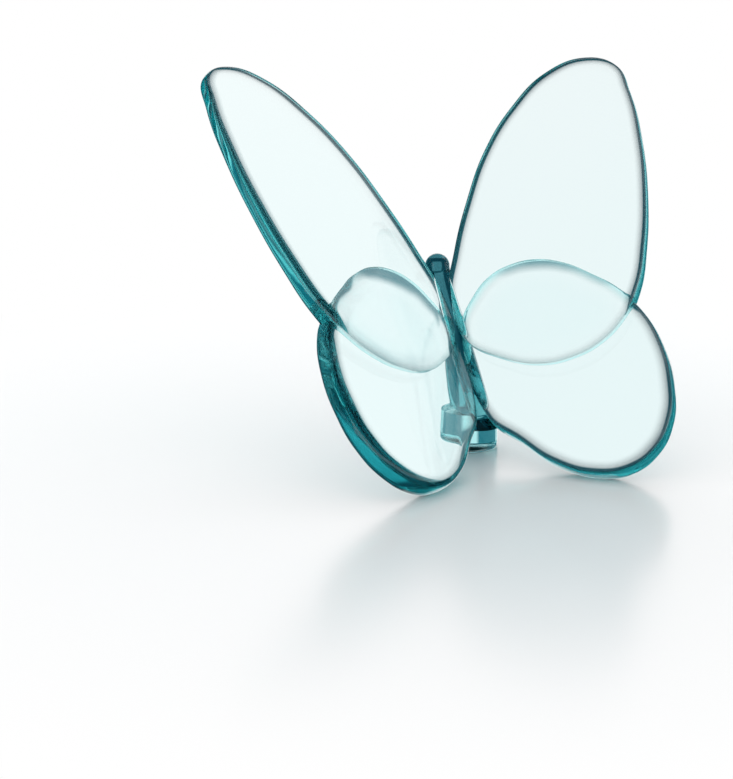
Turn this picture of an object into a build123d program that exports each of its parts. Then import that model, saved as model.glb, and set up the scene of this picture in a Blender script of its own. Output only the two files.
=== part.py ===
from build123d import *
import os
from math import atan, atan2, cos, degrees, radians, sin

# Butterfly ornament of solid pressed crystal. It stands on the foot under its tail
# and on the lowest rims of both hindwings. The origin is the centre of the foot's
# underside, X runs from wing to wing, the wings open towards -Y, and Z is up.

# Stance: the line on which the wing planes meet, and how far the wings open
ROOT_TILT = 50.6
OPENING_HALF_ANGLE = 54.7
ROOT_SETBACK = 4.75
WING_CURVE_RADIUS = 125.0
REST_FLAT_DEPTH = 0.12

# Forewing: a long lobe, thick at the notch and thin at the tip
FOREWING_REACH = 36.3
FOREWING_RISE = 41.3
FOREWING_DROP = 10.6
FOREWING_THICKNESS = 3.2
FOREWING_TIP_THICKNESS = 2.1
FOREWING_RIM_RADIUS = 0.95

# Hindwing: a rounder, thicker lobe behind the forewing's lower edge
HINDWING_REACH = 27.5
HINDWING_RISE = 8.4
HINDWING_DROP = 30.3
HINDWING_THICKNESS = 3.5
HINDWING_RIM_RADIUS = 1.55

# The middle surfaces of the two lobes lie this far apart
LOBE_OFFSET = 0.8

# Blanks and cutting shapes reach this far past what they make
OVERRUN = 3.0

# Body: a tapered oval rod that leans back from the tail to a round head
HEAD_HEIGHT = 23.6
HEAD_SETBACK = 13.0
HEAD_DIAMETER = 3.6
NECK_WIDTH = 3.1
NECK_DEPTH = 3.3
WAIST_WIDTH = 5.7
WAIST_DEPTH = 6.4
TAIL_FRONT = -8.4
TAIL_DEPTH = 13.0
TAIL_WIDTH = 5.6

# Foot: an upright round stub, ground flat underneath
FOOT_HEIGHT = 4.2
FOOT_DIAMETER = 9.2
FOOT_EDGE_ROUNDING = 0.3

# Outlines as shares of reach, and of rise or drop, from the root line outwards
FORE_LEADING_SHARES = [(0.03, 0.16), (0.115, 0.352), (0.228, 0.541), (0.36, 0.722),
                       (0.52, 0.87), (0.712, 0.981)]
FORE_TIP_SHARES = [(0.88, 0.995), (0.985, 0.925), (0.999, 0.785), (0.97, 0.55), (0.91, 0.31),
                   (0.83, 0.09)]
FORE_LOWER_SHARES = [(0.745, 0.3), (0.655, 0.68), (0.54, 0.93), (0.43, 1.0), (0.3, 0.92),
                     (0.16, 0.58), (0.05, 0.1)]
HIND_UPPER_SHARES = [(0.06, 0.2), (0.17, 0.67), (0.29, 0.94), (0.41, 1.0), (0.545, 0.91),
                     (0.675, 0.64), (0.79, 0.22)]
HIND_OUTER_SHARES = [(0.885, 0.055), (0.965, 0.21), (0.999, 0.44), (0.975, 0.64), (0.91, 0.815),
                     (0.79, 0.945), (0.63, 0.999), (0.47, 0.96), (0.3, 0.83), (0.172, 0.653),
                     (0.05, 0.47)]

# Directions along the right wing: outwards, up the root line and off its inner face
tilt = radians(ROOT_TILT)
half = radians(OPENING_HALF_ANGLE)
outwards = Vector(sin(half), -cos(half) * cos(tilt), cos(half) * sin(tilt))
headwards = Vector(0, sin(tilt), cos(tilt))
inner_normal = outwards.cross(headwards)


def points(shares, reach, height):
    return [(across * reach, along * height) for across, along in shares]


def closed_outline(outline_points):
    with BuildSketch() as sketch:
        with BuildLine():
            Spline(*outline_points, periodic=True)
        make_face()
    return sketch.sketch


def curved_slab(reach, length, low, high):
    """A slab along the root line that curves outwards with the wing on both its faces."""
    sag = WING_CURVE_RADIUS - (WING_CURVE_RADIUS**2 - reach**2) ** 0.5
    with BuildSketch(Plane.XZ.offset(-length / 2)) as section:
        with BuildLine():
            top = ThreePointArc((-reach, high - sag), (0, high), (reach, high - sag))
            bottom = ThreePointArc((-reach, low - sag), (0, low), (reach, low - sag))
            Line(top @ 0, bottom @ 0)
            Line(top @ 1, bottom @ 1)
        make_face()
    return extrude(section.sketch, amount=length)


def tapered_plate(reach, drop, rise, middle, thickness, tip_thickness):
    """A curved plate that thins evenly from its low end to its high end."""
    length = drop + rise + 2 * OVERRUN
    taper = degrees(atan((thickness - tip_thickness) / 2 / length))
    mean = (thickness + tip_thickness) / 2
    low, high = middle - mean / 2, middle + mean / 2
    centre = Pos(0, (rise - drop) / 2)
    under = centre * Rot(X=-taper) * curved_slab(reach + OVERRUN, length, low - mean, high)
    over = centre * Rot(X=taper) * curved_slab(reach + OVERRUN, length, low, high + mean)
    return under & over


def deep_prism(outline):
    """All that lies within an outline, well past both faces of the wing."""
    return extrude(Pos(0, 0, -HINDWING_DROP) * outline, amount=2 * HINDWING_DROP)


def lobe(outline, plate, rim_radius):
    """One wing lobe: the plate inside its outline, with its rims rounded over."""
    blank = plate & deep_prism(outline)
    rims = [edge for edge in blank.edges() if edge.is_closed]
    return fillet(rims, rim_radius)


fore_outline = closed_outline(
    points(FORE_LEADING_SHARES, FOREWING_REACH, FOREWING_RISE)
    + points(FORE_TIP_SHARES, FOREWING_REACH, FOREWING_RISE)
    + points(FORE_LOWER_SHARES, FOREWING_REACH, -FOREWING_DROP)
)
hind_outline = closed_outline(
    points(HIND_UPPER_SHARES, HINDWING_REACH, HINDWING_RISE)
    + points(HIND_OUTER_SHARES, HINDWING_REACH, -HINDWING_DROP)
)
fore_plate = tapered_plate(FOREWING_REACH, FOREWING_DROP, FOREWING_RISE, LOBE_OFFSET / 2,
                           FOREWING_THICKNESS, FOREWING_TIP_THICKNESS)
hind_plate = tapered_plate(HINDWING_REACH, HINDWING_DROP, HINDWING_RISE, -LOBE_OFFSET / 2,
                           HINDWING_THICKNESS, HINDWING_THICKNESS)
fore_lobe = lobe(fore_outline, fore_plate, FOREWING_RIM_RADIUS)
hind_lobe = lobe(hind_outline, hind_plate, HINDWING_RIM_RADIUS)

# The half lap: where the lobes cross, the forewing keeps the inner half of the
# thickness and the hindwing keeps the outer half
whole_length = 2 * (FOREWING_RISE + HINDWING_DROP)
inner_half = curved_slab(FOREWING_REACH + OVERRUN, whole_length, 0, HINDWING_DROP)
fore_wing = fore_lobe - (deep_prism(hind_outline) - inner_half)
hind_wing = hind_lobe - (deep_prism(fore_outline) & inner_half)

# The wings stand so that the hindwing's lowest rim just dips below the floor,
# where it is ground to a small flat
lying = Plane(origin=(0, ROOT_SETBACK, 0), x_dir=outwards, z_dir=inner_normal)
lowest_rim = (lying.location * hind_lobe).bounding_box().min.Z
root_height = -lowest_rim - REST_FLAT_DEPTH
wing_place = Plane(origin=(0, ROOT_SETBACK, root_height), x_dir=outwards, z_dir=inner_normal)


def section_plane(y, z, lean):
    return Plane(origin=(0, y, z), x_dir=(1, 0, 0), z_dir=(0, sin(lean), cos(lean)))


def slot_back_from(plane, width, depth):
    """A slot-shaped section that reaches back from the rod's front line."""
    return plane * Pos(0, depth / 2) * SlotOverall(depth, width, rotation=90)


def make_body():
    neck_front = HEAD_SETBACK - NECK_DEPTH / 2
    lean = atan2(neck_front - TAIL_FRONT, HEAD_HEIGHT - FOOT_HEIGHT)
    tail = section_plane(TAIL_FRONT, FOOT_HEIGHT, 0)
    waist = section_plane((TAIL_FRONT + HEAD_SETBACK) / 2, (FOOT_HEIGHT + HEAD_HEIGHT) / 2, lean / 2)
    neck = section_plane(HEAD_SETBACK, HEAD_HEIGHT, lean)
    rod = loft([
        slot_back_from(tail, TAIL_WIDTH, TAIL_DEPTH),
        slot_back_from(waist, WAIST_WIDTH, WAIST_DEPTH),
        neck * SlotOverall(NECK_DEPTH, NECK_WIDTH, rotation=90),
    ])
    return rod + Pos(0, HEAD_SETBACK, HEAD_HEIGHT) * Sphere(HEAD_DIAMETER / 2)


def make_foot():
    stub = extrude(Circle(FOOT_DIAMETER / 2), amount=FOOT_HEIGHT)
    return fillet(stub.faces().sort_by(Axis.Z)[0].edges(), FOOT_EDGE_ROUNDING)


body = make_body()
foot = make_foot()

# Each right wing lobe ends on the body, on the middle plane and on the floor
right_side = Pos(whole_length / 2, 0, whole_length / 2) * Box(*[whole_length] * 3)
pieces = {"body": body, "foot": foot}
for name, wing in (("forewing", fore_wing), ("hindwing", hind_wing)):
    right_wing = (wing_place.location * wing & right_side) - body - foot
    pieces["right_" + name] = right_wing
    pieces["left_" + name] = mirror(right_wing, about=Plane.YZ)

os.makedirs("parts", exist_ok=True)
for name, solid in pieces.items():
    solid.label = name
    export_step(solid, "parts/" + name + ".step")
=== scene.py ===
import math

import bmesh
import bpy
from mathutils import Matrix, Vector
from mathutils.kdtree import KDTree


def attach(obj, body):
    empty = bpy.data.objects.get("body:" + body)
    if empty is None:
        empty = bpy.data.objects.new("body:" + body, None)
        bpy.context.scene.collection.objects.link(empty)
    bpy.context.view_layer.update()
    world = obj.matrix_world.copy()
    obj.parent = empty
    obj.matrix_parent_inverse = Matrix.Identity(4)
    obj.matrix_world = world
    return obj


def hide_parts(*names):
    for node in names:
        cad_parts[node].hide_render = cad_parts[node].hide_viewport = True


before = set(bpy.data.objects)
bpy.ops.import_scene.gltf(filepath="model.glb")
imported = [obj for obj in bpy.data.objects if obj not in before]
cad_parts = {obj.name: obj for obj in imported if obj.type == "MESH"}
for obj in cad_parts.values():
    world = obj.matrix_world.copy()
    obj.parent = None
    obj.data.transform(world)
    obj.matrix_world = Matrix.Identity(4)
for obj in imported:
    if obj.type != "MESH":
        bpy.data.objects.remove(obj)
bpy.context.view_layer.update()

# A butterfly of solid pressed crystal: four wing lobes, a rod body and a round foot.
# All lengths are in metres.
MM = 0.001

# Stance of the wings
ROOT_TILT = math.radians(50.6)
OPENING_HALF_ANGLE = math.radians(54.7)
ROOT_SETBACK = 4.75 * MM
WING_CURVE_RADIUS = 125.0 * MM
REST_FLAT_DEPTH = 0.12 * MM

# Forewing: thick at the notch and thin at the tip
FOREWING_REACH = 36.3 * MM
FOREWING_RISE = 41.3 * MM
FOREWING_DROP = 10.6 * MM
FOREWING_THICKNESS = 3.2 * MM
FOREWING_TIP_THICKNESS = 2.1 * MM
FOREWING_RIM_WIDTH = 1.5 * MM

# Hindwing: a rounder, thicker lobe
HINDWING_REACH = 27.5 * MM
HINDWING_RISE = 8.4 * MM
HINDWING_DROP = 30.3 * MM
HINDWING_THICKNESS = 3.5 * MM
HINDWING_RIM_WIDTH = 2.0 * MM

# The middle surfaces of the two lobes lie this far apart
LOBE_OFFSET = 0.8 * MM

# Pieces of crystal that meet share this thickness, so that no film of air shows
MELD = 0.01 * MM

# A rim's section is a power curve, where 2 would make it round and more is squarer.
# A squarer rim reaches further out, so polishing takes up to this much off outlines.
RIM_SQUARENESS = 3.0
POLISH_LOSS = 0.25 * MM

# Where a lobe ends inside the other, its face sinks to the other's over this width
FADE_WIDTH = 4.5 * MM
FADE_STEEPNESS = 1.8

# A place this far inside the other lobe is well inside it
CROSSING_WIDTH = 2.5 * MM

# Body and foot
HEAD_HEIGHT = 23.6 * MM
HEAD_SETBACK = 13.0 * MM
HEAD_DIAMETER = 3.6 * MM
NECK_WIDTH = 3.1 * MM
NECK_DEPTH = 3.3 * MM
WAIST_WIDTH = 5.7 * MM
WAIST_DEPTH = 6.4 * MM
TAIL_FRONT = -8.4 * MM
TAIL_DEPTH = 13.0 * MM
TAIL_WIDTH = 5.6 * MM
FOOT_HEIGHT = 4.2 * MM
FOOT_DIAMETER = 9.2 * MM
FOOT_EDGE_ROUNDING = 0.3 * MM

# How soon the flat flank of a slot's section goes over into its round ends
FLANK_STEEPNESS = 3

# Outlines as shares of reach, and of rise or drop, from the root line outwards
FORE_LEADING_SHARES = [(0.03, 0.16), (0.115, 0.352), (0.228, 0.541), (0.36, 0.722),
                       (0.52, 0.87), (0.712, 0.981)]
FORE_TIP_SHARES = [(0.88, 0.995), (0.985, 0.925), (0.999, 0.785), (0.97, 0.55), (0.91, 0.31),
                   (0.83, 0.09)]
FORE_LOWER_SHARES = [(0.745, 0.3), (0.655, 0.68), (0.54, 0.93), (0.43, 1.0), (0.3, 0.92),
                     (0.16, 0.58), (0.05, 0.1)]
HIND_UPPER_SHARES = [(0.06, 0.2), (0.17, 0.67), (0.29, 0.94), (0.41, 1.0), (0.545, 0.91),
                     (0.675, 0.64), (0.79, 0.22)]
HIND_OUTER_SHARES = [(0.885, 0.055), (0.965, 0.21), (0.999, 0.44), (0.975, 0.64), (0.91, 0.815),
                     (0.79, 0.945), (0.63, 0.999), (0.47, 0.96), (0.3, 0.83), (0.172, 0.653),
                     (0.05, 0.47)]

# Points nearer to each other than this are one point
SAME_PLACE = MELD / 100

# How finely the surfaces are divided
OUTLINE_STEPS = 12
RIM_RINGS = 16
FACE_RINGS = 24
ROD_STATIONS = 40
ROD_SIDES = 64
HEAD_RINGS = 14
FOOT_EDGE_SEGMENTS = 4

# Faces that meet at more than this stay sharp
SHARP_EDGE = math.radians(32)


# Shapes

def shape_mesh(shape, name):
    """The mesh of a finished bmesh, which is freed."""
    mesh = bpy.data.meshes.new(name)
    shape.to_mesh(mesh)
    shape.free()
    return mesh


def held(data, name):
    """A new object in the scene that holds a mesh, curve, lamp or camera."""
    holder = bpy.data.objects.new(name, data)
    bpy.context.scene.collection.objects.link(holder)
    return holder


def smooth_outline(name, places):
    """The edges of the smooth closed curve through some places on the wing's plane."""
    curve = bpy.data.curves.new(name, "CURVE")
    curve.dimensions = "3D"
    curve.resolution_u = OUTLINE_STEPS
    spline = curve.splines.new("BEZIER")
    spline.bezier_points.add(len(places) - 1)
    spline.use_cyclic_u = True
    for point, (across, along) in zip(spline.bezier_points, places):
        point.co = (across, along, 0)
        point.handle_left_type = point.handle_right_type = "AUTO"
    holder = held(curve, name)
    mesh = bpy.data.meshes.new_from_object(holder)
    bpy.data.objects.remove(holder)
    return mesh


def outlined_face(outline):
    """A fresh shape that holds the outline as one face that looks towards +Z."""
    shape = bmesh.new()
    shape.from_mesh(outline)
    face = bmesh.ops.contextual_create(shape, geom=shape.edges[:])["faces"][0]
    face.normal_update()
    if face.normal.z < 0:
        face.normal_flip()
    return shape, face


def close_with_rings(shape, face, rings):
    """Divides a large face into rings that shrink evenly to its middle."""
    centre = face.calc_center_median_weighted()
    for ring in range(rings, 1, -1):
        bmesh.ops.inset_region(shape, faces=[face], use_boundary=True, thickness=0)
        share = (ring - 1) / ring
        to_centre = Matrix.Translation(-centre)
        bmesh.ops.scale(shape, vec=(share, share, 1), space=to_centre, verts=face.verts)
    bmesh.ops.poke(shape, faces=[face])


def sag(across):
    """How far the wing has curved away at a distance from the root line."""
    return WING_CURVE_RADIUS - math.sqrt(WING_CURVE_RADIUS**2 - across**2)


def rim_height(inset_share):
    """The share of its thickness that a lobe has reached, 0 at its outline and 1 past
    its rim."""
    left = max(0, 1 - inset_share)
    return (1 - left**RIM_SQUARENESS) ** (1 / RIM_SQUARENESS)


def depth_within(outline):
    """A function that tells how deep inside an outline a point lies, below 0 outside."""
    corners = [vert.co.copy() for vert in outline.vertices]
    tree = KDTree(len(corners))
    for index, corner in enumerate(corners):
        tree.insert(corner, index)
    tree.balance()
    turn = sum(one.cross(next_one).z for one, next_one in zip(corners, corners[1:]))

    def depth(x, y):
        point = Vector((x, y, 0))
        nearest = tree.find(point)[1]
        best = math.inf
        for index in (nearest - 1, nearest):
            start, end = corners[index], corners[(index + 1) % len(corners)]
            along = end - start
            share = max(0, min(1, (point - start).dot(along) / along.length_squared))
            gap = point - start - along * share
            if gap.length < abs(best):
                best = math.copysign(gap.length, along.cross(gap).z * turn)
        return best

    return depth


def fore_half_thickness(up):
    """Half the forewing's thickness, which falls from its low end to its tip."""
    share = (up + FOREWING_DROP) / (FOREWING_DROP + FOREWING_RISE)
    return (FOREWING_THICKNESS + (FOREWING_TIP_THICKNESS - FOREWING_THICKNESS) * share) / 2


def hind_half_thickness(up):
    """Half the hindwing's thickness, which is the same all the way up."""
    return HINDWING_THICKNESS / 2


def unit_lobe(outline, rim_width):
    """A lobe with faces at +1 and -1 and its rim on the outline, before it has a thickness."""
    shape, face = outlined_face(outline)
    power = 2 / RIM_SQUARENESS
    inset, height = 0, 0
    for ring in range(1, RIM_RINGS + 1):
        angle = math.pi / 2 * ring / RIM_RINGS
        next_inset = rim_width * (1 - max(0, math.cos(angle)) ** power)
        next_height = math.sin(angle) ** power
        bmesh.ops.inset_region(shape, faces=[face], use_boundary=True, use_even_offset=True,
                               thickness=next_inset - inset, depth=next_height - height)
        inset, height = next_inset, next_height
    close_with_rings(shape, face, FACE_RINGS)
    other_side = bmesh.ops.duplicate(shape, geom=shape.verts[:] + shape.edges[:] + shape.faces[:])
    mirrored = [item for item in other_side["geom"] if isinstance(item, bmesh.types.BMVert)]
    turned = [item for item in other_side["geom"] if isinstance(item, bmesh.types.BMFace)]
    bmesh.ops.scale(shape, vec=(1, 1, -1), verts=mirrored)
    bmesh.ops.reverse_faces(shape, faces=turned)
    bmesh.ops.remove_doubles(shape, verts=shape.verts[:], dist=SAME_PLACE)
    return shape


def crossing(other_depth):
    """How far a place has come inside the other lobe, from 0 at its rim to 1 well inside."""
    share = min(1, max(0, other_depth) / CROSSING_WIDTH)
    return share**2 * (3 - 2 * share)


def faded(own, full, ground, own_depth, other_depth):
    """The height of a lobe's face where it fades into the other lobe's face."""
    inset_share = min(1, max(0, own_depth) / FADE_WIDTH)
    soft = ground + (full - ground) * (1 - (1 - inset_share) ** FADE_STEEPNESS)
    return own + (soft - own) * crossing(other_depth)


def lobe(outline, rim_width, middle, half_thickness, other):
    """A wing lobe, curved with the wing. Its face on its own side of the wing fades into
    the other lobe's face where it ends inside that lobe."""
    other_outline, other_rim, other_half_thickness = other
    own_depth, other_depth = depth_within(outline), depth_within(other_outline)
    own_side = math.copysign(1, middle)
    shape = unit_lobe(outline, rim_width)
    for vert in shape.verts:
        x, y, level = vert.co
        height = (middle + level * half_thickness(y)) * own_side
        depth = other_depth(x, y)
        if level * own_side >= 0 and depth > 0:
            full = abs(middle) + half_thickness(y)
            ground = other_half_thickness(y) * rim_height(depth / other_rim) - abs(middle)
            height = faded(height, full, ground, own_depth(x, y), depth)
        vert.co.z = height * own_side - sag(x)
    return shape_mesh(shape, "lobe")


def lap_block(outline, seam, depth):
    """All that lies within an outline from the curved seam to well past one face."""
    shape, face = outlined_face(outline)
    centre = face.calc_center_median_weighted()
    tight = 1 - MELD / HINDWING_RISE
    bmesh.ops.scale(shape, vec=(tight, tight, 1), space=Matrix.Translation(-centre),
                    verts=shape.verts[:])
    walls = bmesh.ops.extrude_face_region(shape, geom=[face], use_keep_orig=True)
    far = [item for item in walls["geom"] if isinstance(item, bmesh.types.BMVert)]
    bmesh.ops.translate(shape, vec=(0, 0, depth), verts=far)
    near = min(shape.faces, key=lambda item: abs(item.calc_center_median().z))
    close_with_rings(shape, near, FACE_RINGS)
    for vert in shape.verts:
        if abs(vert.co.z) < abs(depth) / 2:
            vert.co.z = seam - sag(vert.co.x)
    bmesh.ops.recalc_face_normals(shape, faces=shape.faces[:])
    return shape_mesh(shape, "lap block")


def carved(blank, *cutters):
    """The blank mesh without what the cutting meshes hold."""
    holder = held(blank, "blank")
    tools = [held(cutter, "cutter") for cutter in cutters]
    for tool in tools:
        cut = holder.modifiers.new("cut", "BOOLEAN")
        cut.operation = "DIFFERENCE"
        cut.solver = "EXACT"
        cut.object = tool
    depsgraph = bpy.context.evaluated_depsgraph_get()
    mesh = bpy.data.meshes.new_from_object(holder.evaluated_get(depsgraph))
    for item in tools + [holder]:
        bpy.data.objects.remove(item)
    return mesh


def sliced(mesh, place, normal):
    """The mesh cut by a plane, with what lies on the normal's side taken away."""
    shape = bmesh.new()
    shape.from_mesh(mesh)
    bmesh.ops.bisect_plane(shape, geom=shape.verts[:] + shape.edges[:] + shape.faces[:],
                           plane_co=place, plane_no=normal, clear_outer=True)
    rim = [edge for edge in shape.edges if edge.is_boundary]
    bmesh.ops.holes_fill(shape, edges=rim)
    bmesh.ops.recalc_face_normals(shape, faces=shape.faces[:])
    return shape_mesh(shape, mesh.name)


def mark_rims_for_painted_shade(mesh, outline, other_outline, rim_width, middle, half_thickness):
    """Keeps on a wing's mesh how near its outline each place is, and how near the middle
    of its thickness, for the shade painted along its edges in place of the dark outline that edges
    of crystal show."""
    rims = mesh.attributes.new("rim", "FLOAT", "POINT").data
    walls = mesh.attributes.new("rim_wall", "FLOAT", "POINT").data
    depth, other_depth = depth_within(outline), depth_within(other_outline)
    to_wing = wing_place.inverted()
    for vert, rim, wall in zip(mesh.vertices, rims, walls):
        x, y, z = to_wing @ vert.co
        level = abs(z + sag(x) - middle) / half_thickness(y)
        crossed = crossing(other_depth(x, y))
        strength = 1 + (CROSSED_PAINTED_SHADE_SHARE - 1) * crossed
        rim.value = strength * min(1, max(0, 1 - depth(x, y) / rim_width))
        wall.value = max(0, 1 - level)


def moved(mesh, matrix):
    """A copy of a mesh in another place."""
    copy = mesh.copy()
    copy.transform(matrix)
    return copy


def mirrored_left(mesh):
    """The left wing's mesh, made from the right wing's."""
    copy = moved(mesh, Matrix.Scale(-1, 4, (1, 0, 0)))
    copy.flip_normals()
    return copy


def outline_places(shares, reach, height):
    """The places of an outline's points on the wing's plane."""
    return [(across * reach, along * height) for across, along in shares]


# The wing's own directions: outwards, up the root line, and off its inner face
outwards = Vector((math.sin(OPENING_HALF_ANGLE),
                   -math.cos(OPENING_HALF_ANGLE) * math.cos(ROOT_TILT),
                   math.cos(OPENING_HALF_ANGLE) * math.sin(ROOT_TILT)))
headwards = Vector((0, math.sin(ROOT_TILT), math.cos(ROOT_TILT)))
inner_normal = outwards.cross(headwards)
wing_turn = Matrix((outwards, headwards, inner_normal)).transposed().to_4x4()

fore_reach = FOREWING_REACH - POLISH_LOSS
fore_rise = FOREWING_RISE - POLISH_LOSS
fore_outline = smooth_outline("forewing outline",
                              outline_places(FORE_LEADING_SHARES, fore_reach, fore_rise)
                              + outline_places(FORE_TIP_SHARES, fore_reach, fore_rise)
                              + outline_places(FORE_LOWER_SHARES, fore_reach, -FOREWING_DROP))
hind_reach = HINDWING_REACH - POLISH_LOSS
hind_drop = HINDWING_DROP - POLISH_LOSS / 2
hind_outline = smooth_outline("hindwing outline",
                              outline_places(HIND_UPPER_SHARES, hind_reach, HINDWING_RISE)
                              + outline_places(HIND_OUTER_SHARES, hind_reach, -hind_drop))
fore_lobe = lobe(fore_outline, FOREWING_RIM_WIDTH, LOBE_OFFSET / 2, fore_half_thickness,
                 (hind_outline, HINDWING_RIM_WIDTH, hind_half_thickness))
hind_lobe = lobe(hind_outline, HINDWING_RIM_WIDTH, -LOBE_OFFSET / 2, hind_half_thickness,
                 (fore_outline, FOREWING_RIM_WIDTH, fore_half_thickness))

# The lower rim of the hindwing just dips below the floor, and is ground flat there
lowest = min((wing_turn @ vert.co).z for vert in hind_lobe.vertices)
wing_place = Matrix.Translation((0, ROOT_SETBACK, -lowest - REST_FLAT_DEPTH)) @ wing_turn


def middle_share(low, middle, high, share):
    """A smooth run through three values, with the middle one halfway."""
    return (low * (1 - share) * (1 - 2 * share) + middle * 4 * share * (1 - share)
            + high * share * (2 * share - 1))


def section_loop(shape, centre, width, depth, y, z, lean):
    """Sets a slot-shaped loop square to the rod, and gives its edges."""
    made = bmesh.ops.create_circle(shape, segments=ROD_SIDES, radius=width / 2)
    verts = made["verts"]
    reach = (depth - width) / 2
    for vert in verts:
        side = max(-1, min(1, vert.co.y / (width / 2) * FLANK_STEEPNESS))
        vert.co.y += side * reach
        vert.co.y += centre
    place = Matrix.Translation((0, y, z)) @ Matrix.Rotation(-lean, 4, "X")
    bmesh.ops.transform(shape, matrix=place, verts=verts)
    return list({edge for vert in verts for edge in vert.link_edges})


def body_mesh():
    """The rod: a tapering slot section that leans back, with a ball for a head."""
    neck_front = HEAD_SETBACK - NECK_DEPTH / 2
    lean = math.atan2(neck_front - TAIL_FRONT, HEAD_HEIGHT - FOOT_HEIGHT)
    ball = HEAD_DIAMETER / 2
    neck = (NECK_WIDTH + NECK_DEPTH) / 4
    below_ball = math.sqrt(ball**2 - neck**2)
    rod_length = math.hypot(HEAD_SETBACK - TAIL_FRONT - TAIL_DEPTH / 2, HEAD_HEIGHT - FOOT_HEIGHT)
    last = 1 - below_ball / rod_length
    shape = bmesh.new()
    loops = []

    # From the tail up to where the ball begins
    for station in range(ROD_STATIONS + 1):
        share = last * station / ROD_STATIONS
        depth = middle_share(TAIL_DEPTH, WAIST_DEPTH, NECK_DEPTH, share)
        width = middle_share(TAIL_WIDTH, WAIST_WIDTH, NECK_WIDTH, share)
        y = middle_share(TAIL_FRONT, (TAIL_FRONT + HEAD_SETBACK) / 2, neck_front, share)
        z = middle_share(FOOT_HEIGHT, (FOOT_HEIGHT + HEAD_HEIGHT) / 2, HEAD_HEIGHT, share)
        turn = middle_share(0, lean / 2, lean, share)
        loops.append(section_loop(shape, depth / 2, width, depth, y, z, turn))

    # Round the ball to its far end
    first_angle = math.asin(neck / ball)
    for ring in range(1, HEAD_RINGS):
        angle = math.pi - first_angle - (math.pi - first_angle) * ring / HEAD_RINGS
        along = ball * math.cos(angle)
        around = 2 * ball * math.sin(angle)
        loops.append(section_loop(shape, 0, around, around, HEAD_SETBACK + along * math.sin(lean),
                                  HEAD_HEIGHT + along * math.cos(lean), lean))

    for lower, upper in zip(loops, loops[1:]):
        bmesh.ops.bridge_loops(shape, edges=lower + upper)
    ends = [edge for edge in shape.edges if edge.is_boundary]
    bmesh.ops.holes_fill(shape, edges=ends)
    bmesh.ops.recalc_face_normals(shape, faces=shape.faces[:])
    return shape_mesh(shape, "body")


def foot_mesh():
    """The upright stub, which reaches a hair into the body above it."""
    height = FOOT_HEIGHT + MELD
    shape = bmesh.new()
    bmesh.ops.create_circle(shape, segments=ROD_SIDES * 2, radius=FOOT_DIAMETER / 2, cap_ends=True)
    raised = bmesh.ops.extrude_face_region(shape, geom=shape.faces[:], use_keep_orig=True)
    top = [item for item in raised["geom"] if isinstance(item, bmesh.types.BMVert)]
    bmesh.ops.translate(shape, vec=(0, 0, height), verts=top)
    bmesh.ops.recalc_face_normals(shape, faces=shape.faces[:])
    bottom = [edge for edge in shape.edges if all(vert.co.z < height / 2 for vert in edge.verts)]
    bmesh.ops.bevel(shape, geom=bottom, offset=FOOT_EDGE_ROUNDING, affect="EDGES",
                    segments=FOOT_EDGE_SEGMENTS, profile=0.5, material=-1)
    return shape_mesh(shape, "foot")


# Materials

# Places of a Mix node's colour sockets among its inputs and outputs
MIX_FIRST = 6
MIX_SECOND = 7
MIX_RESULT = 2

WHITE = (1.0, 1.0, 1.0)
CRYSTAL_IOR = 1.54

# Finish of pressed crystal: faint waves in its skin and tint, and polish marks.
# The scales count waves and marks to the metre.
WAVE_SCALE = 300.0
WAVE_DETAIL = 1.0
WAVE_STRENGTH = 0.05
WAVE_HEIGHT = 0.1 * MM
TINT_CHANGE = 0.05
MARK_SCALE = 900.0
MARK_DETAIL = 3.0
ROUGHEST_POLISH = 0.01

# Painted shade darkens a wing's rim from near its edge inwards, as a share of the rim's width,
# # and is a lighter teal on its wall apart from its corners, as a share of half its thickness
RIM_PAINTED_SHADE_SPREAD = (0.1, 0.95)
RIM_WALL_PAINTED_SHADE_SPREAD = (0.3, 0.7)
# Colours of the painted shade: near black on the rim's corners and teal on its wall
RIM_CORNER_PAINTED_SHADE = (0.002, 0.02, 0.035)
RIM_WALL_PAINTED_SHADE = (0.46, 0.97, 0.98)

# Share of its painted shade that a rim keeps well inside the other lobe
CROSSED_PAINTED_SHADE_SHARE = 0.6

# Painted shade deepens the body's colour between these heights
BODY_PAINTED_SHADE_START = 8.0 * MM
BODY_PAINTED_SHADE_END = 13.0 * MM
BODY_TOP_PAINTED_SHADE = (0.1, 0.24, 0.28)

# Each crystal's faint tint at its skin, and the colour and strength of its depth
WING_SKIN = (0.93, 0.99, 1.0)
WING_DEPTH = (0.133, 0.825, 0.842)
WING_DENSITY = 50.0
BODY_SKIN = (0.9, 0.98, 1.0)
BODY_DEPTH = (0.1, 0.7, 0.74)
BODY_DENSITY = 300.0
FOOT_DEPTH = (0.1, 0.82, 0.84)
FOOT_DENSITY = 90.0


def maths(nodes, links, operation, first, second, clamped=False):
    """A Math node on two values, each of which is a socket or a plain number."""
    node = nodes.new("ShaderNodeMath")
    node.operation = operation
    node.use_clamp = clamped
    for socket, value in zip(node.inputs, (first, second)):
        if isinstance(value, (int, float)):
            socket.default_value = value
        else:
            links.new(value, socket)
    return node.outputs["Value"]


def soft_step(nodes, links, value, start, end):
    """0 up to the start of a value's range, 1 from its end, and smooth between."""
    step = nodes.new("ShaderNodeMapRange")
    step.interpolation_type = "SMOOTHSTEP"
    step.inputs["From Min"].default_value = start
    step.inputs["From Max"].default_value = end
    links.new(value, step.inputs["Value"])
    return step.outputs["Result"]


def mixed(nodes, links, share, first, second):
    """A share of the way from one colour to another, each a socket or a plain colour."""
    node = nodes.new("ShaderNodeMix")
    node.data_type = "RGBA"
    links.new(share, node.inputs["Factor"])
    for place, colour in ((MIX_FIRST, first), (MIX_SECOND, second)):
        if isinstance(colour, tuple):
            node.inputs[place].default_value = (*colour, 1)
        else:
            links.new(colour, node.inputs[place])
    return node.outputs[MIX_RESULT]


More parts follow.
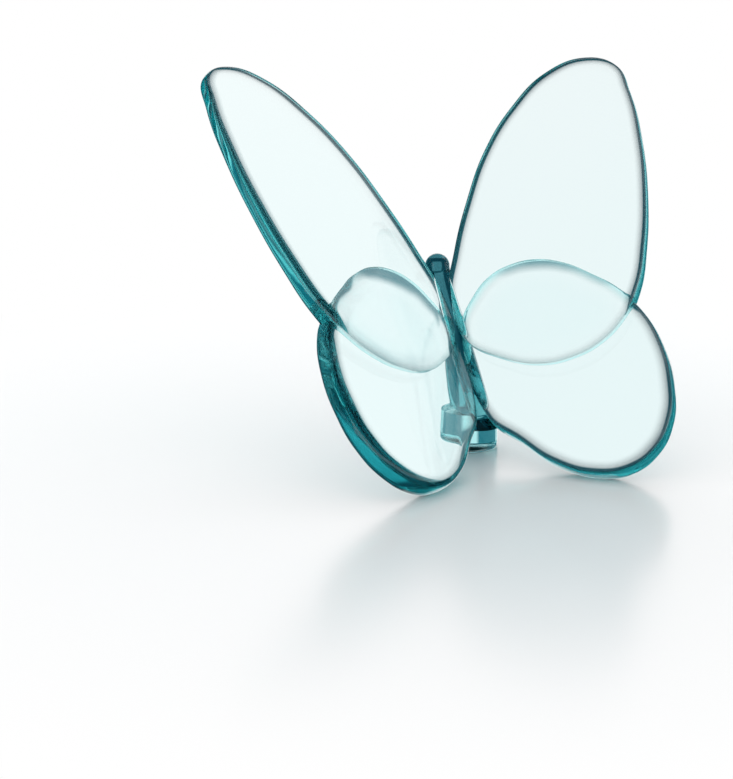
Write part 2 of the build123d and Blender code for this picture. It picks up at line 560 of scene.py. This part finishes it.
def noise(nodes, links, place, scale, detail):
    """Cloudy values over a surface. The scale is a socket or a plain number."""
    cloud = nodes.new("ShaderNodeTexNoise")
    cloud.inputs["Detail"].default_value = detail
    if isinstance(scale, float):
        cloud.inputs["Scale"].default_value = scale
    else:
        links.new(scale, cloud.inputs["Scale"])
    links.new(place, cloud.inputs["Vector"])
    return cloud.outputs["Fac"]


def finish_group():
    """The faint waves, changes of tint and polish marks of pressed crystal."""
    group = bpy.data.node_groups.new("pressed crystal finish", "ShaderNodeTree")
    for name, value in (("Wave Size", WAVE_SCALE), ("Polish", ROUGHEST_POLISH),
                        ("Tint Change", TINT_CHANGE)):
        socket = group.interface.new_socket(name, in_out="INPUT", socket_type="NodeSocketFloat")
        socket.default_value = value
    for name in ("Height", "Roughness", "Tint"):
        group.interface.new_socket(name, in_out="OUTPUT", socket_type="NodeSocketFloat")
    nodes, links = group.nodes, group.links
    given = nodes.new("NodeGroupInput").outputs
    made = nodes.new("NodeGroupOutput").inputs
    place = nodes.new("ShaderNodeTexCoord").outputs["Object"]
    waves = noise(nodes, links, place, given["Wave Size"], WAVE_DETAIL)
    marks = noise(nodes, links, place, MARK_SCALE, MARK_DETAIL)
    links.new(waves, made["Height"])
    links.new(maths(nodes, links, "MULTIPLY", marks, given["Polish"]), made["Roughness"])
    links.new(maths(nodes, links, "MULTIPLY", waves, given["Tint Change"]), made["Tint"])
    return group


crystal_finish = finish_group()


def carried(nodes, links, name, start, end):
    """A mask from an attribute of the mesh, 0 up to its start and 1 from its end."""
    attribute = nodes.new("ShaderNodeAttribute")
    attribute.attribute_name = name
    return soft_step(nodes, links, attribute.outputs["Fac"], start, end)


def rim_painted_shade(nodes, links, colour):
    """The colour of a wing with painted shade: darker at its rim, and darkest on the two corners
    of the rim.
    """
    rim = carried(nodes, links, "rim", *RIM_PAINTED_SHADE_SPREAD)
    wall = carried(nodes, links, "rim_wall", *RIM_WALL_PAINTED_SHADE_SPREAD)
    edge = mixed(nodes, links, wall, RIM_CORNER_PAINTED_SHADE, RIM_WALL_PAINTED_SHADE)
    return mixed(nodes, links, rim, colour, edge)


def painted_shade_upwards(nodes, links, colour):
    """The colour of the body with painted shade: plain at the tail, and darker from the waist to
    the head.
    """
    split = nodes.new("ShaderNodeSeparateXYZ")
    links.new(nodes.new("ShaderNodeTexCoord").outputs["Object"], split.inputs["Vector"])
    height = soft_step(nodes, links, split.outputs["Z"], BODY_PAINTED_SHADE_START, BODY_PAINTED_SHADE_END)
    return mixed(nodes, links, height, colour, BODY_TOP_PAINTED_SHADE)


def crystal(name, skin, depth_colour, depth_density, with_painted_shade=None):
    """Clear coloured crystal: polished outside, and darker the more of it light crosses.
    Painted shade is laid on its colour by a function of its own where one is given."""
    material = bpy.data.materials.new(name)
    material.use_nodes = True
    nodes, links = material.node_tree.nodes, material.node_tree.links
    nodes.clear()
    output = nodes.new("ShaderNodeOutputMaterial")
    glass = nodes.new("ShaderNodeBsdfPrincipled")
    glass.inputs["Transmission Weight"].default_value = 1.0
    glass.inputs["Metallic"].default_value = 0.0
    glass.inputs["IOR"].default_value = CRYSTAL_IOR
    finish = nodes.new("ShaderNodeGroup")
    finish.node_tree = crystal_finish
    colour = mixed(nodes, links, finish.outputs["Tint"], WHITE, skin)
    # Painted shade on the colour, where this crystal has any
    if with_painted_shade:
        colour = with_painted_shade(nodes, links, colour)
    links.new(colour, glass.inputs["Base Color"])
    links.new(finish.outputs["Roughness"], glass.inputs["Roughness"])
    bump = nodes.new("ShaderNodeBump")
    bump.inputs["Strength"].default_value = WAVE_STRENGTH
    bump.inputs["Distance"].default_value = WAVE_HEIGHT
    links.new(finish.outputs["Height"], bump.inputs["Height"])
    links.new(bump.outputs["Normal"], glass.inputs["Normal"])
    depth = nodes.new("ShaderNodeVolumeAbsorption")
    depth.inputs["Color"].default_value = (*depth_colour, 1)
    depth.inputs["Density"].default_value = depth_density
    links.new(glass.outputs["BSDF"], output.inputs["Surface"])
    links.new(depth.outputs["Volume"], output.inputs["Volume"])
    return material


# The wings get painted shade along their rims
wing_crystal = crystal("teal wing crystal", WING_SKIN, WING_DEPTH, WING_DENSITY, rim_painted_shade)
# The body gets painted shade towards its head
body_crystal = crystal("deep teal body crystal", BODY_SKIN, BODY_DEPTH, BODY_DENSITY,
                       painted_shade_upwards)
foot_crystal = crystal("teal foot crystal", BODY_SKIN, FOOT_DEPTH, FOOT_DENSITY)


# Pieces

def piece(name, mesh, material):
    """Sets a finished piece of the butterfly in the place of the node of its name."""
    for polygon in mesh.polygons:
        polygon.use_smooth = True
    mesh.set_sharp_from_angle(angle=SHARP_EDGE)
    mesh.materials.clear()
    mesh.materials.append(material)
    mesh.name = name
    shown = held(mesh, name + "_crystal")
    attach(shown, "root")
    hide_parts(name)


body = body_mesh()

# The body that cuts the wings is a hair thinner, so that they end inside its skin
shrink = Matrix.Diagonal((1 - MELD / WAIST_WIDTH, 1 - MELD / WAIST_DEPTH, 1, 1))
fore_half = carved(fore_lobe, lap_block(hind_outline, -MELD, -HINDWING_DROP))
hind_half = carved(hind_lobe, lap_block(fore_outline, MELD, HINDWING_DROP))
wings = (("forewing", fore_half, (fore_outline, hind_outline, FOREWING_RIM_WIDTH,
                                  LOBE_OFFSET / 2, fore_half_thickness)),
         ("hindwing", hind_half, (hind_outline, fore_outline, HINDWING_RIM_WIDTH,
                                  -LOBE_OFFSET / 2, hind_half_thickness)))

# Each wing ends a hair past the middle plane and on the body, the hindwing on the floor too
for name, half, rim_facts in wings:
    right = sliced(moved(half, wing_place), (-MELD, 0, 0), (-1, 0, 0))
    if name == "hindwing":
        right = sliced(right, (0, 0, 0), (0, 0, -1))
    right = carved(right, moved(body, shrink))
    # Marks where painted shade goes along the rims
    mark_rims_for_painted_shade(right, *rim_facts)
    piece("right_" + name, right, wing_crystal)
    piece("left_" + name, mirrored_left(right), wing_crystal)
piece("body", body, body_crystal)
piece("foot", foot_mesh(), foot_crystal)


# Table

FLOOR_RADIUS = 3.0
FLOOR_SIDES = 64
TABLE_TONES = ((0.93, 0.94, 0.95), (0.95, 0.95, 0.95))
TABLE_CLOUD_SCALE = 12.0
TABLE_CLOUD_DETAIL = 2.0
TABLE_ROUGHNESS = 0.5
LACQUER_ROUGHNESS = 0.22
LACQUER_IOR = 2.6

# Distances from the foot's middle: where glass begins to see past the table and where it
# wholly does, and where the table begins to go over into the white background and ends
SEEN_PAST_START = FOOT_DIAMETER * 0.15
SEEN_PAST_END = FOOT_DIAMETER * 0.5
WHITE_OUT_START = 0.05
WHITE_OUT_END = 0.12


def floor_material():
    """A lacquered white table. It mirrors the butterfly softly. Light that leaves the
    crystal sees past it to the room, and far from the foot the camera sees plain white."""
    material = bpy.data.materials.new("polished white table")
    material.use_nodes = True
    nodes, links = material.node_tree.nodes, material.node_tree.links
    paint = nodes["Principled BSDF"]
    paint.inputs["Roughness"].default_value = TABLE_ROUGHNESS
    paint.inputs["Coat Weight"].default_value = 1.0
    paint.inputs["Coat Roughness"].default_value = LACQUER_ROUGHNESS
    paint.inputs["Coat IOR"].default_value = LACQUER_IOR
    place = nodes.new("ShaderNodeTexCoord").outputs["Object"]
    cloud = noise(nodes, links, place, TABLE_CLOUD_SCALE, TABLE_CLOUD_DETAIL)
    links.new(mixed(nodes, links, cloud, *TABLE_TONES), paint.inputs["Base Color"])
    length = nodes.new("ShaderNodeVectorMath")
    length.operation = "LENGTH"
    links.new(place, length.inputs[0])
    distance = length.outputs["Value"]
    path = nodes.new("ShaderNodeLightPath").outputs
    far = soft_step(nodes, links, distance, WHITE_OUT_START, WHITE_OUT_END)
    white = nodes.new("ShaderNodeEmission")
    paler = nodes.new("ShaderNodeMixShader")
    links.new(maths(nodes, links, "MULTIPLY", far, path["Is Camera Ray"]), paler.inputs["Fac"])
    links.new(paint.outputs["BSDF"], paler.inputs[1])
    links.new(white.outputs["Emission"], paler.inputs[2])
    through = maths(nodes, links, "MAXIMUM", path["Is Transmission Ray"], path["Is Glossy Ray"])
    clear_of_foot = soft_step(nodes, links, distance, SEEN_PAST_START, SEEN_PAST_END)
    open_way = nodes.new("ShaderNodeBsdfTransparent")
    seen = nodes.new("ShaderNodeMixShader")
    links.new(maths(nodes, links, "MULTIPLY", through, clear_of_foot), seen.inputs["Fac"])
    links.new(paler.outputs["Shader"], seen.inputs[1])
    links.new(open_way.outputs["BSDF"], seen.inputs[2])
    links.new(seen.outputs["Shader"], nodes["Material Output"].inputs["Surface"])
    return material


surface = bmesh.new()
bmesh.ops.create_circle(surface, segments=FLOOR_SIDES, radius=FLOOR_RADIUS, cap_ends=True)
floor = held(shape_mesh(surface, "table"), "table")
floor.data.materials.append(floor_material())


# Light

BACK_BOX_PLACE = (0.12, 0.64, 0.48)
BACK_BOX_SIZE = 0.6
BACK_BOX_POWER = 2.5


def soft_light(name, place, size, power):
    """A square soft box that looks at the butterfly. No glass or gloss shows it."""
    lamp = bpy.data.lights.new(name, "AREA")
    lamp.shape = "SQUARE"
    lamp.size = size
    lamp.energy = power
    holder = held(lamp, name)
    holder.location = place
    towards = Vector((0, 0, FOREWING_RISE / 2)) - Vector(place)
    holder.rotation_euler = towards.to_track_quat("-Z", "Y").to_euler()
    holder.visible_transmission = False
    holder.visible_glossy = False


soft_light("back box", BACK_BOX_PLACE, BACK_BOX_SIZE, BACK_BOX_POWER)

# Behind the butterfly the room has a white window, with dark cards around it that show
# through the crystal. Each card reaches from bearing to bearing, counted clockwise from the
# window's middle, and from elevation to elevation, in degrees.
WINDOW_BEARING = math.radians(20.0)
CARDS = [((-62, -17), (-40, 24)), ((17, 60), (-40, 8)), ((-17, 17), (-40, -24)),
         ((-34, 34), (8, 52))]
CARD_SHADE = (0.04, 0.2, 0.25)
CARD_SOFTNESS = math.radians(3)

# The outside of the crystal mirrors only these windows of the room, and else the shade of
# the cards. They reach from bearing to bearing and from elevation to elevation as well.
MIRRORED_WINDOWS = [((-24, 24), (-95, 27)), ((36, 68), (27, 52)), ((68, 250), (5, 27))]

# Bearings from the window run between these two
FIRST_BEARING = math.radians(-120)
LAST_BEARING = math.radians(240)

# The room's light on the table, and its tint where it has come through the crystal
TABLE_LIGHT_LEVEL = 0.93
LIGHT_THROUGH_CRYSTAL = (0.45, 0.8, 0.85)


def between(nodes, links, value, low, high):
    """1 where an angle lies between two others, with soft ends."""
    begun = soft_step(nodes, links, value, low - CARD_SOFTNESS, low + CARD_SOFTNESS)
    ended = soft_step(nodes, links, value, high + CARD_SOFTNESS, high - CARD_SOFTNESS)
    return maths(nodes, links, "MULTIPLY", begun, ended)


def patches(nodes, links, bearing, elevation, places):
    """1 inside any of some patches of the room."""
    covered = 0
    for bearings, elevations in places:
        across = between(nodes, links, bearing, *map(math.radians, bearings))
        upright = between(nodes, links, elevation, *map(math.radians, elevations))
        patch = maths(nodes, links, "MULTIPLY", across, upright)
        covered = maths(nodes, links, "ADD", covered, patch, True)
    return covered


def room_angles(nodes, links):
    """The bearing of a place in the room, from the window's middle, and its elevation."""
    split = nodes.new("ShaderNodeSeparateXYZ")
    links.new(nodes.new("ShaderNodeTexCoord").outputs["Generated"], split.inputs["Vector"])
    bearing = maths(nodes, links, "ARCTAN2", split.outputs["X"], split.outputs["Y"])
    wrapped = nodes.new("ShaderNodeMath")
    wrapped.operation = "WRAP"
    links.new(maths(nodes, links, "SUBTRACT", bearing, WINDOW_BEARING), wrapped.inputs[0])
    wrapped.inputs[1].default_value = LAST_BEARING
    wrapped.inputs[2].default_value = FIRST_BEARING
    elevation = maths(nodes, links, "ARCSINE", split.outputs["Z"], 0)
    return wrapped.outputs["Value"], elevation


def pale_room():
    """Plain white to the camera and to the table, and white with dark cards to the glass."""
    world = bpy.data.worlds.new("pale room")
    world.use_nodes = True
    nodes, links = world.node_tree.nodes, world.node_tree.links
    bearing, elevation = room_angles(nodes, links)
    path = nodes.new("ShaderNodeLightPath").outputs

    # What the crystal shows, from inside and in its polish
    carded = patches(nodes, links, bearing, elevation, CARDS)
    windows = patches(nodes, links, bearing, elevation, MIRRORED_WINDOWS)
    inside = maths(nodes, links, "MINIMUM", path["Transmission Depth"], 1)
    mirrored = maths(nodes, links, "SUBTRACT", path["Is Glossy Ray"], inside, True)
    dark_inside = maths(nodes, links, "MULTIPLY", carded, inside)
    dark_outside = maths(nodes, links, "MULTIPLY",
                         maths(nodes, links, "SUBTRACT", 1, windows), mirrored)
    dark = maths(nodes, links, "ADD", dark_inside, dark_outside, True)
    glass_light = nodes.new("ShaderNodeBackground")
    links.new(mixed(nodes, links, dark, WHITE, CARD_SHADE), glass_light.inputs["Color"])

    # What lights the table, and what the camera sees behind it
    on_table = maths(nodes, links, "MINIMUM", path["Diffuse Depth"], 1)
    level = maths(nodes, links, "MULTIPLY", on_table, TABLE_LIGHT_LEVEL)
    strength = maths(nodes, links, "ADD", level, path["Is Camera Ray"])
    plain_light = nodes["Background"]
    links.new(mixed(nodes, links, inside, WHITE, LIGHT_THROUGH_CRYSTAL),
              plain_light.inputs["Color"])
    links.new(strength, plain_light.inputs["Strength"])

    both = nodes.new("ShaderNodeMixShader")
    links.new(maths(nodes, links, "ADD", on_table, path["Is Camera Ray"], True),
              both.inputs["Fac"])
    links.new(glass_light.outputs["Background"], both.inputs[1])
    links.new(plain_light.outputs["Background"], both.inputs[2])
    links.new(both.outputs["Shader"], nodes["World Output"].inputs["Surface"])
    return world


scene = bpy.context.scene
scene.world = pale_room()
scene.view_settings.view_transform = "Standard"

# Light runs a long way inside the rims, from wall to wall, before it comes out
LIGHT_BOUNCES = 40
scene.cycles.max_bounces = LIGHT_BOUNCES
scene.cycles.glossy_bounces = LIGHT_BOUNCES
scene.cycles.transmission_bounces = LIGHT_BOUNCES


# Camera, where the photograph was taken from

CAMERA_PLACE = (-0.095212, -0.270460, 0.078360)
CAMERA_TURN = math.radians(16.594)
CAMERA_LOOK_DOWN = math.radians(13.780)
CAMERA_LENS = 96.39
CAMERA_NEAR = 0.01

lens = bpy.data.cameras.new("camera")
lens.lens = CAMERA_LENS
lens.clip_start = CAMERA_NEAR
camera = held(lens, "camera")
camera.location = CAMERA_PLACE
camera.rotation_euler = (math.pi / 2 - CAMERA_LOOK_DOWN, 0, -CAMERA_TURN)
bpy.context.scene.camera = camera
